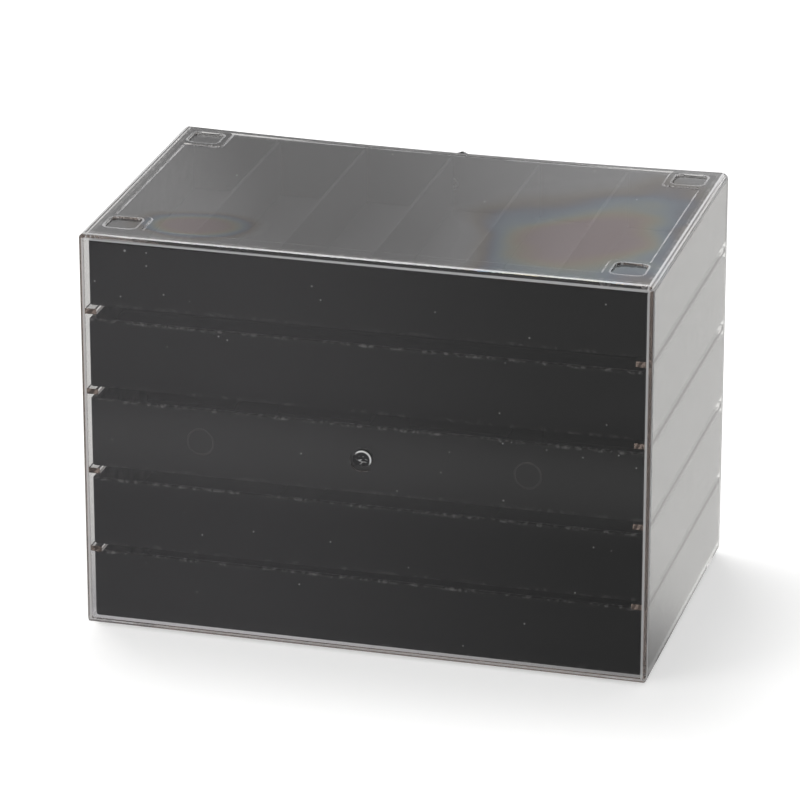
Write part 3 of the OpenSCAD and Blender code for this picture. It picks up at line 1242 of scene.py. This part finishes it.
@dataclass
class KnobScrew:
    """The screws that hold the knobs: pan head with a cross slot, and a rolled thread.

    Attributes:
        head_d: Diameter of the head.
        head_h: Height of the head.
        core_d: Diameter of the shank between the threads.
        thread_d: Diameter over the thread.
        pitch: Distance from one turn of the thread to the next.
        plain: Length of the shank without thread under the head.
        point: Length of the tapered point.
        slot: Length, width and depth of the cross slot.
        dome: Outline of the head from its top, as shares of its radius and height.
        tip: Radius of the end of the point as a share of the shank's.
        sides: Number of faces round the screw.
        turn_steps: Number of points along one turn of the thread.
    """

    head_d: float = 5.6 * MM
    head_h: float = 1.8 * MM
    core_d: float = 2.5 * MM
    thread_d: float = 3.0 * MM
    pitch: float = 0.5 * MM
    plain: float = 1.6 * MM
    point: float = 0.7 * MM
    slot: Triple = (3.4 * MM, 0.8 * MM, 1.0 * MM)
    dome: tuple[Span, ...] = ((0.62, 1.0), (0.84, 0.90), (0.96, 0.66), (1.0, 0.35))
    tip: float = 0.6
    sides: int = 40
    turn_steps: int = 18

    def __post_init__(self) -> None:
        """Takes the length of the shank from the frame and makes the tree."""
        low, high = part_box("knob_screw_1")
        self.shank = high.y - low.y - self.head_h
        self.tree = self.thread_tree()

    def thread_tree(self) -> ShapeTree:
        """Makes the tree that cuts the slot, winds the thread and puts the screw in its place."""
        tree = ShapeTree("knob_screw")
        cutters = [self.add_slot(tree, turn) for turn in (0.0, math.pi / 2)]
        solids = {"Mesh 1": tree.geometry, "Mesh 2": cutters}
        slotted = tree.add("MeshBoolean", solids, operation="DIFFERENCE", solver="EXACT")
        core_r = tree.input("Core Radius", "Float")
        depth = tree.input("Thread Depth", "Float")
        helix = tree.add("CurveSpiral", {
            "Resolution": self.turn_steps,
            "Rotations": tree.input("Turns", "Float"),
            "Height": tree.input("Thread Length", "Float"),
            "Start Radius": core_r,
            "End Radius": core_r,
        })
        ridge = tree.add("CurvePrimitiveCircle", {"Resolution": 4, "Radius": depth})
        wound = tree.add("CurveToMesh", {"Curve": helix, "Profile Curve": ridge, "Fill Caps": True})
        start = tree.input("Thread Start", "Vector")
        wound = tree.add("Transform", {"Geometry": wound, "Translation": start})
        whole = tree.add("JoinGeometry", {"Geometry": [slotted, wound]})
        placed = tree.add("Transform", {
            "Geometry": whole,
            "Translation": tree.input("Place", "Vector"),
            "Rotation": (TO_FRONT, 0, 0),
        })
        tree.finish(placed)
        return tree

    def add_slot(self, tree: ShapeTree, turn: float) -> Socket:
        """Adds the block that cuts one arm of the cross slot.

        Args:
            tree: The tree in work.
            turn: How far the block is turned about the screw's axis.

        Returns:
            The block.
        """
        length, width, depth = self.slot
        block = tree.add("MeshCube", {"Size": (length, width, 2 * depth)})
        return tree.add("Transform", {
            "Geometry": block, "Translation": (0, 0, -self.head_h), "Rotation": (0, 0, turn),
        })

    def blank(self, name: str) -> bpy.types.Object:
        """Turns the head and the shank, with the axis along +Z and the underside of the head at 0.

        Args:
            name: Name of the piece.

        Returns:
            The piece.
        """
        head, core = self.head_d / 2, self.core_d / 2
        outline = [(r * head, -h * self.head_h) for r, h in self.dome]
        outline += [(head, 0), (core, 0), (core, self.shank - self.point), (self.tip * core, self.shank)]
        bm = bmesh.new()
        rings = [
            [
                bm.verts.new((r * math.cos(a), r * math.sin(a), z))
                for a in (2 * math.pi * k / self.sides for k in range(self.sides))
            ]
            for r, z in outline
        ]
        for first, second in zip(rings, rings[1:]):
            join_loops(bm, first, second)
        bm.faces.new(rings[0][::-1])
        bm.faces.new(rings[-1])
        bmesh.ops.recalc_face_normals(bm, faces=bm.faces[:])
        return piece_from(name, bm)

    def build(self, number: int, finish: bpy.types.Material) -> bpy.types.Object:
        """Makes one screw.

        Args:
            number: Which drawer it is on, counted from the top.
            finish: Its material.

        Returns:
            The piece.
        """
        node = f"knob_screw_{number}"
        low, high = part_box(node)
        length = self.shank - self.plain - self.point
        piece = self.tree.run(self.blank(f"threaded_screw_{number}"), {
            "Turns": length / self.pitch,
            "Thread Length": length,
            "Core Radius": self.core_d / 2,
            "Thread Depth": (self.thread_d - self.core_d) / 2,
            "Thread Start": (0.0, 0.0, self.plain),
            "Place": (0.0, high.y - self.head_h, (low.z + high.z) / 2),
            "Finish": finish,
        })
        even_normals(piece)
        return dress(piece, finish, f"drawer_{number}", node)


@dataclass
class LiningMat:
    """One velour mat on the floor of a drawer.

    Attributes:
        number: Which drawer it lies in, counted from the top.
        cells: Number of faces along and across the mat.
        edge_drop: How far the pile is pressed down along the edges.
        wave: Greatest dip of the pile between the edges.
        level: Mean dip as a share of the greatest one.
        slow: Share of the slow waves and their number of radians per metre across and along.
        quick: The same for the quick waves.
        phase: How far the waves are shifted from one drawer to the next, in radians.
    """

    number: int
    cells: tuple[int, int] = (72, 42)
    edge_drop: float = 0.35 * MM
    wave: float = 0.22 * MM
    level: float = 0.5
    slow: Triple = (0.36, 61, 83)
    quick: Triple = (0.14, 190, 140)
    phase: float = 1.7

    def dip(self, x: float, y: float) -> float:
        """How far the pile lies below its full height at a place.

        Args:
            x: Place across the drawer.
            y: Place along the drawer.

        Returns:
            The dip, from 0 to the greatest one.
        """
        shift = self.phase * self.number
        slow_share, slow_x, slow_y = self.slow
        quick_share, quick_x, quick_y = self.quick
        slow = math.sin(slow_x * x + shift) * math.cos(slow_y * y - shift)
        quick = math.sin(quick_x * x + quick_y * y + 2 * shift)
        return self.wave * (self.level + slow_share * slow + quick_share * quick)

    def build(self, finish: bpy.types.Material) -> bpy.types.Object:
        """Makes the mat.

        Args:
            finish: Its material.

        Returns:
            The piece.
        """
        node = f"lining_mat_{self.number}"
        low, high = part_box(node)
        size = high - low
        across, along = self.cells
        bm = bmesh.new()
        grid = []
        for j in range(along + 1):
            row = []
            for i in range(across + 1):
                x, y = low.x + size.x * i / across, low.y + size.y * j / along
                on_edge = i in (0, across) or j in (0, along)
                z = high.z - (self.edge_drop if on_edge else self.dip(x, y))
                row.append(bm.verts.new((x, y, z)))
            grid.append(row)
        for j in range(along):
            for i in range(across):
                bm.faces.new((grid[j][i], grid[j][i + 1], grid[j + 1][i + 1], grid[j + 1][i]))
        rim = (
            grid[0] + [row[-1] for row in grid[1:]]
            + grid[-1][-2::-1] + [row[0] for row in grid[-2:0:-1]]
        )
        foot = [bm.verts.new((v.co.x, v.co.y, low.z)) for v in rim]
        join_loops(bm, foot, rim)
        bm.faces.new(foot[::-1])
        bmesh.ops.recalc_face_normals(bm, faces=bm.faces[:])
        piece = even_normals(piece_from(f"velour_mat_{self.number}", bm))
        dress(piece, finish, f"drawer_{self.number}", node)
        return piece


@dataclass(frozen=True)
class Notch:
    """A notch in a divider plate.

    Attributes:
        at: Place of its middle along the plate.
        width: Its width.
        depth: Its depth.
        from_top: Whether it is cut from above.
    """

    at: float
    width: float
    depth: float
    from_top: bool


@dataclass
class DividerPlate:
    """A thin upright plate with round edges and notches.

    Attributes:
        low: Lowest corner of the plate.
        high: Highest corner of the plate.
        along_x: Whether the plate runs from side to side.
        notches: Its notches, in order along the plate.
        softening: Width of the round on its edges.
    """

    low: Vector
    high: Vector
    along_x: bool = False
    notches: tuple[Notch, ...] = ()
    softening: float = 0.3 * MM

    def outline(self) -> list[tuple[float, float]]:
        """The plate's outline, as places along it and heights."""
        start, end = (self.low.x, self.high.x) if self.along_x else (self.low.y, self.high.y)
        below, above = [(start, self.low.z)], [(start, self.high.z)]
        for notch in self.notches:
            edge = above if notch.from_top else below
            face = self.high.z if notch.from_top else self.low.z
            level = face - notch.depth if notch.from_top else face + notch.depth
            left, right = notch.at - notch.width / 2, notch.at + notch.width / 2
            edge += [(left, face), (left, level), (right, level), (right, face)]
        below.append((end, self.low.z))
        above.append((end, self.high.z))
        return below + above[::-1]

    def build(self, name: str) -> bpy.types.Object:
        """Makes the plate.

        Args:
            name: Name of the piece.

        Returns:
            The piece.
        """
        sides = (self.low.y, self.high.y) if self.along_x else (self.low.x, self.high.x)
        bm = bmesh.new()
        walls = [
            [bm.verts.new((s, t, z) if self.along_x else (t, s, z)) for s, z in self.outline()]
            for t in sides
        ]
        join_loops(bm, *walls)
        for wall in walls:
            bm.faces.new(wall)
        bmesh.ops.recalc_face_normals(bm, faces=bm.faces[:])
        round_edges(bm, sharp_edges(bm), self.softening, 2)
        return piece_from(name, bm)


@dataclass
class DividerRow:
    """A row of like divider plates from front to back of one drawer.

    Attributes:
        number: Which drawer, counted from the top.
        count: Number of plates.
        thickness: Thickness of a plate.
        notch_w: Width of the notch over a long divider.
        notch_spare: How far two crossing notches overlap.
        crossed: Whether a long divider crosses the row.
    """

    number: int
    count: int
    thickness: float = 1.6 * MM
    notch_w: float = 1.9 * MM
    notch_spare: float = 0.15 * MM
    crossed: bool = False

    def __post_init__(self) -> None:
        """Takes the row's box and the places of its plates from the frame."""
        self.low, self.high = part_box(f"cross_dividers_{self.number}")
        self.first = self.low.x + self.thickness / 2
        self.step = (self.high.x - self.low.x - self.thickness) / (self.count - 1)

    def row_tree(self) -> ShapeTree:
        """Makes the tree that repeats one plate along a line."""
        tree = ShapeTree(f"divider_row_{self.number}")
        line = tree.add("MeshLine", {
            "Count": tree.input("Count", "Int"),
            "Start Location": tree.input("First", "Vector"),
            "Offset": tree.input("Step", "Vector"),
        })
        tree.finish(tree.add("InstanceOnPoints", {"Points": line, "Instance": tree.geometry}))
        return tree

    def notch(self, at: float, from_top: bool) -> Notch:
        """A notch of this row's size, half the plate deep."""
        return Notch(at, self.notch_w, (self.high.z - self.low.z) / 2 + self.notch_spare, from_top)

    def build(self, finish: bpy.types.Material) -> bpy.types.Object:
        """Makes the row of plates.

        Args:
            finish: Its material.

        Returns:
            The piece.
        """
        half = self.thickness / 2
        low, high = Vector((-half, self.low.y, self.low.z)), Vector((half, self.high.y, self.high.z))
        notches = (self.notch((low.y + high.y) / 2, from_top=False),) if self.crossed else ()
        piece = DividerPlate(low, high, notches=notches).build(f"divider_row_{self.number}")
        self.row_tree().run(piece, {
            "Count": self.count,
            "First": (self.first, 0.0, 0.0),
            "Step": (self.step, 0.0, 0.0),
            "Finish": finish,
        })
        even_normals(piece)
        node = f"cross_dividers_{self.number}"
        return dress(piece, finish, f"drawer_{self.number}", node)

    def build_long(self, finish: bpy.types.Material) -> bpy.types.Object:
        """Makes the plate from side to side that crosses this row.

        Args:
            finish: Its material.

        Returns:
            The piece.
        """
        node = f"long_divider_{self.number}"
        notches = tuple(self.notch(self.first + k * self.step, from_top=True) for k in range(self.count))
        plate = DividerPlate(*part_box(node), along_x=True, notches=notches)
        piece = even_normals(plate.build(f"long_plate_{self.number}"))
        return dress(piece, finish, f"drawer_{self.number}", node)


@dataclass
class RingRollPad:
    """The pad of velour rolls that hold rings between them.

    Attributes:
        number: Which drawer it lies in, counted from the top.
        crease_h: Height of the creases between the rolls.
        crease_w: Width of a crease.
        crown_h: Height of the round top of a roll.
        arc_steps: Number of faces over a roll.
        length_steps: Number of faces along a roll.
        end_r: Length over which the ends of a roll round off.
        end_shrink: Share of its section that a roll loses at its ends.
        end_steps: Places of the faces over the round of an end, as shares of its length.
        pressure: Pressure of the stuffing.
        frames: Number of steps that the stuffing is given to swell.
        cap: How far the swelling may move a point.
    """

    number: int
    crease_h: float = 6.2 * MM
    crease_w: float = 0.5 * MM
    crown_h: float = 9.0 * MM
    arc_steps: int = 12
    length_steps: int = 56
    end_r: float = 4.0 * MM
    end_shrink: float = 0.16
    end_steps: tuple[float, ...] = (0.0, 0.12, 0.35, 0.65, 1.0)
    pressure: float = 4.0
    frames: int = 20
    cap: float = 0.6 * MM

    def __post_init__(self) -> None:
        """Takes the pad's box from the frame and works out its rolls by the same rule."""
        self.low, self.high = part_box(f"ring_rolls_{self.number}")
        self.roll_d = self.high.z - self.low.z
        depth = self.high.y - self.low.y
        self.count = math.ceil(depth / self.roll_d - 1e-6)
        self.pitch = (depth - self.roll_d) / (self.count - 1)

    def section(self) -> list[tuple[float, float, bool]]:
        """Points across the pad: place along the depth, height above the underside, and whether held."""
        half = self.pitch / 2 - self.crease_w / 2 - self.cap / 4
        spring = self.roll_d - self.crown_h - self.cap
        points = []
        for k in range(self.count):
            middle = self.low.y + self.roll_d / 2 + k * self.pitch
            points.append((middle - self.pitch / 2, self.crease_h, True))
            for step in range(self.arc_steps + 1):
                angle = math.pi * (step / self.arc_steps - 0.5)
                y = middle + half * math.sin(angle)
                z = spring + self.crown_h * math.cos(angle)
                points.append((y, z, False))
        last = self.low.y + self.roll_d / 2 + (self.count - 0.5) * self.pitch
        points.append((last, self.crease_h, True))
        return points

    def stations(self) -> list[tuple[float, float]]:
        """Places along the rolls and the share of the section that is left there."""
        left = [
            (self.end_r * e, 1 - self.end_shrink * (1 - math.sqrt(1 - (1 - e) ** 2)))
            for e in self.end_steps
        ]
        length = self.high.x - self.low.x
        inner = [
            (self.end_r + (length - 2 * self.end_r) * k / self.length_steps, 1.0)
            for k in range(1, self.length_steps)
        ]
        right = [(length - x, share) for x, share in reversed(left)]
        return [(self.low.x + x, share) for x, share in left + inner + right]

    def rolls(self) -> bpy.types.Object:
        """Makes the pad before it swells, with the points that the backing holds in a group."""
        section = self.section()
        bm = bmesh.new()
        held_layer = bm.verts.layers.deform.verify()
        rows = []
        for x, share in self.stations():
            row = []
            for y, z, held in section:
                vert = bm.verts.new((x, y, self.low.z + z * share))
                vert[held_layer][0] = 1.0 if held else 0.0
                row.append(vert)
            for y in (section[-1][0], section[0][0]):
                vert = bm.verts.new((x, y, self.low.z))
                vert[held_layer][0] = 1.0
                row.append(vert)
            rows.append(row)
        for first, second in zip(rows, rows[1:]):
            join_loops(bm, first, second)
        for row in (rows[0], rows[-1]):
            bm.faces.new(row)
            for vert in row:
                vert[held_layer][0] = 1.0
        bmesh.ops.recalc_face_normals(bm, faces=bm.faces[:])
        piece = piece_from(f"ring_roll_pad_{self.number}", bm)
        piece.vertex_groups.new(name="held")
        return piece

    def swell(self, piece: bpy.types.Object) -> None:
        """Lets the stuffing press the velour out, and keeps the result in the mesh.

        Args:
            piece: The pad.
        """
        scene = bpy.context.scene
        cloth = piece.modifiers.new("stuffing", "CLOTH")
        cloth.settings.use_pressure = True
        cloth.settings.uniform_pressure_force = self.pressure
        cloth.settings.vertex_group_mass = "held"
        cloth.settings.effector_weights.gravity = 0
        for step in range(1, self.frames + 1):
            scene.frame_set(step)
        graph = bpy.context.evaluated_depsgraph_get()
        swollen = piece.evaluated_get(graph).to_mesh()
        moves = [new.co - old.co for new, old in zip(swollen.vertices, piece.data.vertices)]
        piece.evaluated_get(graph).to_mesh_clear()
        piece.modifiers.clear()
        scene.frame_set(1)
        for vert, move in zip(piece.data.vertices, moves):
            if move.length > self.cap:
                move.length = self.cap
            vert.co += move

    def build(self, finish: bpy.types.Material) -> bpy.types.Object:
        """Makes the pad.

        Args:
            finish: Its material.

        Returns:
            The piece.
        """
        piece = self.rolls()
        self.swell(piece)
        smooth = piece.modifiers.new("even_rolls", "SUBSURF")
        smooth.levels = smooth.render_levels = 1
        bake(piece)
        piece.vertex_groups.clear()
        piece.data.shade_smooth()
        dress(piece, finish, f"drawer_{self.number}", f"ring_rolls_{self.number}")
        return piece


@dataclass
class PhotoCamera:
    """The camera that took the photograph.

    Attributes:
        place: Where it stands.
        forward: The way it looks.
        lens: Focal length in millimetres.
        sensor: Width of the sensor in millimetres.
        clip: Nearest and farthest distance that it sees.
    """

    place: Vector = field(default_factory=lambda: Vector((-0.5392, 2.0094, 0.9052)))
    forward: Vector = field(default_factory=lambda: Vector((0.2440, -0.8978, -0.3667)))
    lens: float = 228.9
    sensor: float = 36.0
    clip: Span = (0.05, 50.0)

    def build(self) -> bpy.types.Object:
        """Makes the camera and hands the scene to it."""
        data = bpy.data.cameras.new("photo_camera")
        data.lens = self.lens
        data.sensor_width = self.sensor
        data.clip_start, data.clip_end = self.clip
        camera = bpy.data.objects.new("photo_camera", data)
        camera.location = self.place
        camera.rotation_euler = self.forward.to_track_quat("-Z", "Y").to_euler()
        bpy.context.scene.collection.objects.link(camera)
        bpy.context.scene.camera = camera
        return camera


@dataclass(frozen=True)
class SoftLamp:
    """A square soft lamp that points at the object.

    Attributes:
        name: Name of the lamp.
        place: Where it hangs.
        size: Side of its face.
        power: Its power in watts.
        aim: The point that it is aimed at.
    """

    name: str
    place: Triple
    size: float
    power: float
    aim: Triple = (0.0, 0.0, 0.09)

    def build(self) -> bpy.types.Object:
        """Makes the lamp."""
        data = bpy.data.lights.new(self.name, "AREA")
        data.size = self.size
        data.energy = self.power
        lamp = bpy.data.objects.new(self.name, data)
        lamp.location = self.place
        forward = Vector(self.aim) - Vector(self.place)
        lamp.rotation_euler = forward.to_track_quat("-Z", "Y").to_euler()
        lamp.visible_transmission = False
        bpy.context.scene.collection.objects.link(lamp)
        return lamp


@dataclass
class Studio:
    """A pale floor, a white background and soft lamps.

    Attributes:
        floor_size: Side of the floor.
        floor_colour: Colour of the floor.
        lift: Light added to the floor so that it meets the white background.
        ambient: Light from all round on plain surfaces.
        far_floor: What shiny surfaces show of the floor beyond the object.
        near_dark: What they show of the floor on the camera's side, where it is darkest.
        near_light: What they show of it where it is lightest.
        band: Light added to it in a band across the floor.
        horizon: What they show of the backdrop low down.
        far_dark: What they show of the backdrop above that.
        far_light: What they show of the backdrop higher up.
        far_side: What they show of the backdrop to both sides of its middle.
        room: What they show of the dark room to the sides and behind the camera.
        through: What shows above the horizon through the edges of clear plastic.
        slant: How far the dark side of the near floor runs askew to the depth.
        slant_span: Where it is darkest and where lightest, from side to side.
        band_rise: Where the band across the floor begins and where it is lightest, along the depth.
        band_fall: Where it ends and where it is lightest still.
        band_tail: Where the floor behind the band begins to be lighter and where it is lightest.
        tail_share: Strength of that light as a share of the band's.
        near_sides: Distance from the middle where the floor turns into the dark room.
        wedge: How fast the far floor widens with its distance.
        wedge_span: Its half width where it ends and where it is whole.
        far_span: Where the far floor begins and where it is whole, along the depth.
        low_span: Height where the horizon's light ends, as part of a direction.
        high_span: Height where the lighter part of the backdrop begins.
        right_side: Direction across where the backdrop gets lighter on one side, and its share.
        left_side: The same on the other side.
        away_y: Direction along the depth where the backdrop begins and where it is whole.
        away_x: Direction across where it ends and where it is whole.
        up_span: Height where the colour seen through edges begins and where it is whole.
        bounces: How often light is followed on, which the solid edges of the clear case need.
        lamps: The lamps.
    """

    floor_size: float = 12.0
    floor_colour: Colour = (0.86, 0.86, 0.855)
    lift: float = 0.42
    ambient: float = 0.5
    far_floor: Colour = (0.89, 0.885, 0.87)
    near_dark: Colour = (0.28, 0.28, 0.28)
    near_light: Colour = (0.50, 0.493, 0.51)
    band: Colour = (0.18, 0.18, 0.18)
    horizon: Colour = (1.0, 1.0, 1.0)
    far_dark: Colour = (0.55, 0.55, 0.555)
    far_light: Colour = (1.2, 1.2, 1.22)
    far_side: Colour = (1.7, 1.7, 1.72)
    room: Colour = (0.06, 0.05, 0.045)
    through: Colour = (0.30, 0.29, 0.285)
    slant: float = -0.268
    slant_span: Span = (-0.15, 0.06)
    band_rise: Span = (0.22, 0.30)
    band_fall: Span = (0.375, 0.31)
    band_tail: Span = (0.33, 0.40)
    tail_share: float = 0.35
    near_sides: Span = (0.26, 0.34)
    wedge: float = 0.8
    wedge_span: Span = (0.25, 0.09)
    far_span: Span = (0.10, -0.02)
    low_span: Span = (0.12, 0.28)
    high_span: Span = (0.325, 0.40)
    right_side: tuple[Span, float] = ((0.268, 0.292), 0.3)
    left_side: tuple[Span, float] = ((0.258, 0.20), 0.5)
    away_y: Span = (-0.3, -0.7)
    away_x: Span = (0.64, 0.5)
    up_span: Span = (0.0, 0.1)
    bounces: int = 40
    lamps: tuple[SoftLamp, ...] = (
        SoftLamp("top_softbox", (0.25, -0.35, 1.5), 0.55, 9.0),
        SoftLamp("side_softbox", (1.3, 0.9, 0.9), 0.9, 5.0),
    )

    def shiny(self, sheet: ShaderSheet, path: bpy.types.Node) -> Socket:
        """Tells whether a ray comes from a shiny or clear surface and lights no plain one.

        Args:
            sheet: The nodes in work.
            path: The node that tells what a ray is.

        Returns:
            One for such a ray, nought for others.
        """
        clear = sheet.calc("MAXIMUM", path.outputs["Is Glossy Ray"], path.outputs["Is Transmission Ray"])
        return sheet.calc("MULTIPLY", clear, sheet.calc("LESS_THAN", path.outputs["Diffuse Depth"], 0.5))

    def ground(self, sheet: ShaderSheet) -> Socket:
        """What shiny surfaces show of the floor, bright beyond the object and darker on the near side.

        Args:
            sheet: The nodes in work.

        Returns:
            The colour.
        """
        x, y, _ = sheet.split(sheet.places())
        width = sheet.calc("ABSOLUTE", x, 0.0)
        slant = sheet.calc("ADD", x, sheet.calc("MULTIPLY", y, self.slant))
        near = sheet.blend(sheet.spread(slant, *self.slant_span), self.near_dark, self.near_light)
        ridge = sheet.calc("MULTIPLY", sheet.spread(y, *self.band_rise), sheet.spread(y, *self.band_fall))
        ridge = sheet.calc("MAXIMUM", ridge, sheet.spread(y, *self.band_tail, 0.0, self.tail_share))
        near = sheet.blend(ridge, near, self.band, how="ADD")
        near = sheet.blend(sheet.spread(width, *self.near_sides), near, self.room)
        wedge = sheet.calc("ADD", width, sheet.calc("MULTIPLY", y, self.wedge))
        beyond = sheet.calc(
            "MULTIPLY", sheet.spread(y, *self.far_span), sheet.spread(wedge, *self.wedge_span)
        )
        return sheet.blend(beyond, near, self.far_floor)

    def floor(self) -> bpy.types.Object:
        """Makes the floor, which is plain to the camera and shaded in what shiny surfaces show of it."""
        half = self.floor_size / 2
        mesh = bpy.data.meshes.new("floor")
        corners = [(-half, -half, 0), (half, -half, 0), (half, half, 0), (-half, half, 0)]
        mesh.from_pydata(corners, [], [(0, 1, 2, 3)])
        floor = new_piece("floor", mesh)
        material, sheet = new_material("pale_floor")
        path = sheet.add("ShaderNodeLightPath")
        mirrored = sheet.add("ShaderNodeEmission")
        sheet.feed(mirrored.inputs["Color"], self.ground(sheet))
        plain = sheet.add("ShaderNodeBsdfDiffuse")
        sheet.feed(plain.inputs["Color"], self.floor_colour)
        glow = sheet.add("ShaderNodeEmission")
        lift = sheet.calc("MULTIPLY", path.outputs["Is Camera Ray"], self.lift)
        sheet.feed(glow.inputs["Strength"], lift)
        both = sheet.add("ShaderNodeAddShader")
        sheet.feed(both.inputs[0], plain.outputs["BSDF"])
        sheet.feed(both.inputs[1], glow.outputs["Emission"])
        seen = sheet.mix(self.shiny(sheet, path), both.outputs["Shader"], mirrored.outputs["Emission"])
        sheet.surface(seen)
        mesh.materials.append(material)
        return floor

    def backdrop(self, sheet: ShaderSheet, path: bpy.types.Node) -> Socket:
        """What shiny and clear surfaces show of the room.

        Args:
            sheet: The nodes in work.
            path: The node that tells what a ray is.

        Returns:
            The colour.
        """
        coords = sheet.add("ShaderNodeTexCoord")
        x, y, z = sheet.split(coords.outputs["Generated"])
        far = sheet.blend(sheet.spread(z, *self.low_span), self.horizon, self.far_dark)
        far = sheet.blend(sheet.spread(z, *self.high_span), far, self.far_light)
        sides = [sheet.spread(x, *span, 0.0, share) for span, share in (self.right_side, self.left_side)]
        far = sheet.blend(sheet.calc("MAXIMUM", *sides), far, self.far_side)
        width = sheet.calc("ABSOLUTE", x, 0.0)
        away = sheet.calc("MULTIPLY", sheet.spread(y, *self.away_y), sheet.spread(width, *self.away_x))
        room = sheet.blend(away, self.room, far)
        upward = sheet.spread(z, *self.up_span)
        upward = sheet.calc("MULTIPLY", upward, path.outputs["Is Transmission Ray"])
        return sheet.blend(upward, room, self.through)

    def world(self) -> None:
        """Lights plain surfaces evenly, and shows white to the camera and the room to shiny surfaces."""
        world = bpy.data.worlds.new("studio")
        world.use_nodes = True
        bpy.context.scene.world = world
        sheet = ShaderSheet(world.node_tree)
        path = sheet.add("ShaderNodeLightPath")
        plain = (self.ambient, self.ambient, self.ambient)
        colour = sheet.blend(self.shiny(sheet, path), plain, self.backdrop(sheet, path))
        colour = sheet.blend(path.outputs["Is Camera Ray"], colour, (1.0, 1.0, 1.0))
        background = sheet.add("ShaderNodeBackground")
        sheet.feed(background.inputs["Color"], colour)
        output = sheet.add("ShaderNodeOutputWorld")
        sheet.feed(output.inputs["Surface"], background.outputs["Background"])

    def build(self) -> None:
        """Makes the floor, the world and the lamps, and lets light run on inside clear plastic."""
        self.floor()
        self.world()
        for lamp in self.lamps:
            lamp.build()
        paths = bpy.context.scene.cycles
        paths.max_bounces = paths.glossy_bounces = self.bounces
        paths.transmission_bounces = paths.transparent_max_bounces = self.bounces


def main() -> None:
    """Builds the pieces and the studio."""
    logging.basicConfig(level=logging.INFO, format="%(name)s: %(message)s")
    bpy.context.scene.view_settings.view_transform = "Standard"
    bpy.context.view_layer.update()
    PhotoCamera().build()
    Studio().build()

    _, case_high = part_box("case")
    spots = (
        StressSpot(x=-87 * MM, y=39 * MM, reach_x=65 * MM, reach_y=105 * MM),
        StressSpot(x=80 * MM, y=62 * MM, reach_x=34 * MM, reach_y=22 * MM),
    )
    case_plastic = ClearPlastic(
        "case_plastic",
        stress=350.0,
        stress_from=case_high.z - STRESS_DEPTH,
        spots=spots,
        painted_edge_light=PaintedEdgeLight(),
    ).build()
    gate = (0.0, case_high.y, (case_high.z + FOOT_H) / 2)
    broken_plastic = BrokenPlastic("broken_plastic", middle=gate).build()
    knob_plastic = ClearPlastic(
        "knob_plastic", haze=(0.0, 0.01), body=(0.75, 0.76, 0.8), density=3.0
    ).build()
    steel = ScrewSteel("screw_steel").build()
    lining = Velour("lining_velour").build()
    roll_velour = Velour("roll_velour", stroke=(0.4, 1.0, 1.0)).build()
    flock = Velour("divider_flock", brushed_sheen=(0.018, 0.018, 0.019), stroke=(1.0, 1.0, 0.5)).build()

    ClearCase().build(case_plastic, broken_plastic)
    screws = KnobScrew()
    for number in range(1, DRAWERS + 1):
        low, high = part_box(f"drawer_{number}")
        black = BlackPlastic(f"drawer_black_{number}", underside=low.z, rim=high.z - low.z).build()
        DrawerTray(number).build(black)
        LiningMat(number).build(lining)
        FacetedKnob(number).build(knob_plastic)
        screws.build(number, steel)
    DividerRow(1, count=5).build(flock)
    RingRollPad(2).build(roll_velour)
    crossed = DividerRow(3, count=3, crossed=True)
    crossed.build(flock)
    crossed.build_long(flock)
    DividerRow(4, count=2).build(flock)


if __name__ == "__main__":
    main()
